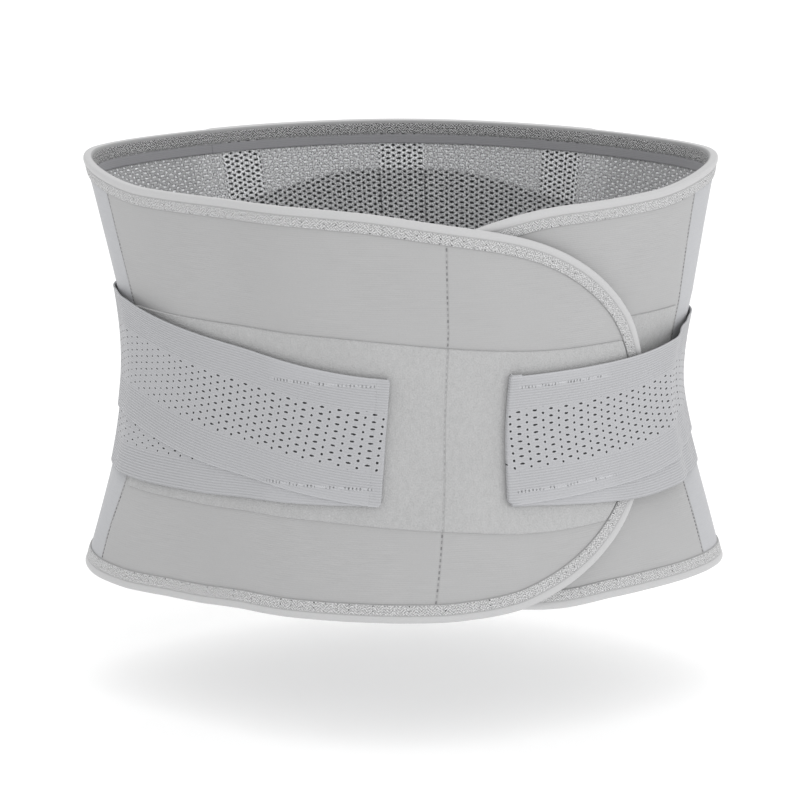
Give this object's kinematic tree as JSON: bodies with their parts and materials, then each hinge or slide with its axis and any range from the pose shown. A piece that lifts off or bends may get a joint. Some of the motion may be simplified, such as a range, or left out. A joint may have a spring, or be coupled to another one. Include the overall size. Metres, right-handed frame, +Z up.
{
  "type": "lumbar support belt",
  "caption": "Hourglass lumbar support belt closed into a ring, with rounded front flaps, bound edges, a loop landing pad, back stays and perforated elastic side straps.",
  "frame": {"origin": "centre of the bounding box at the underside, where the lower edge binding rests", "axes": "+X to the right of someone looking at the front overlap, +Y towards the back panel, +Z up along the wearer's spine"},
  "size_m": [0.3296, 0.2402, 0.21],
  "materials": {
    "front_fabric": "fine horizontal ribs, matte",
    "side_fabric": "smooth knit, matte",
    "mesh_fabric": "open spacer mesh",
    "loop_fabric": "brushed loop pile",
    "hook_tape": "moulded hooks, matte",
    "elastic_band": "ribbed elastic with an open centre",
    "trim_tape": "zigzag binding tape",
    "padding": "thin foam, matte",
    "stay_plastic": "satin"
  },
  "bodies": {
    "back": {"back_panel": "front_fabric", "back_lining": "mesh_fabric", "lumbar_pad": "padding", "stay_1": "stay_plastic", "stay_2": "stay_plastic", "stay_3": "stay_plastic", "stay_4": "stay_plastic", "stay_pocket_1": "trim_tape", "stay_pocket_2": "trim_tape", "stay_pocket_3": "trim_tape", "back_binding_top": "trim_tape", "back_binding_bottom": "trim_tape", "inner_elastic_top": "elastic_band", "inner_elastic_bottom": "elastic_band", "seam_tape_left": "trim_tape", "seam_tape_right": "trim_tape"},
    "left_wing": {"left_lining": "mesh_fabric", "left_side_panel": "side_fabric", "left_front_panel": "front_fabric", "left_binding": "trim_tape", "left_loop_pad": "loop_fabric", "left_hook_pad": "hook_tape", "left_upper_band_rear": "elastic_band", "left_lower_band_rear": "elastic_band"},
    "right_wing": {"right_lining": "mesh_fabric", "right_side_panel": "side_fabric", "right_front_panel": "front_fabric", "right_binding": "trim_tape", "right_loop_pad": "loop_fabric", "right_upper_band_rear": "elastic_band", "right_lower_band_rear": "elastic_band"},
    "left_strap": {"left_upper_band": "elastic_band", "left_lower_band": "elastic_band", "left_hook_patch": "hook_tape", "left_tab_edge": "trim_tape"},
    "right_strap": {"right_upper_band": "elastic_band", "right_lower_band": "elastic_band", "right_hook_patch": "hook_tape", "right_tab_edge": "trim_tape"}
  },
  "joints": [
    {"name": "left_wing_fold", "type": "hinge", "parent": "back", "child": "left_wing", "pos_m": [-0.10746, 0.08175, 0], "axis": [0, 0, -1], "range_deg": [0, 60]},
    {"name": "right_wing_fold", "type": "hinge", "parent": "back", "child": "right_wing", "pos_m": [0.10746, 0.08175, 0], "axis": [0, 0, 1], "range_deg": [0, 30]},
    {"name": "left_strap_peel", "type": "hinge", "parent": "left_wing", "child": "left_strap", "pos_m": [-0.1525, 0.0102, 0], "axis": [0, 0, -1], "range_deg": [0, 100]},
    {"name": "right_strap_peel", "type": "hinge", "parent": "right_wing", "child": "right_strap", "pos_m": [0.1525, 0.0102, 0], "axis": [0, 0, 1], "range_deg": [0, 90]}
  ],
  "couplings": [
    {"joint": "right_wing_fold", "follows": "left_wing_fold", "ratio": 0.5},
    {"joint": "right_strap_peel", "follows": "left_wing_fold", "ratio": 1.5}
  ]
}
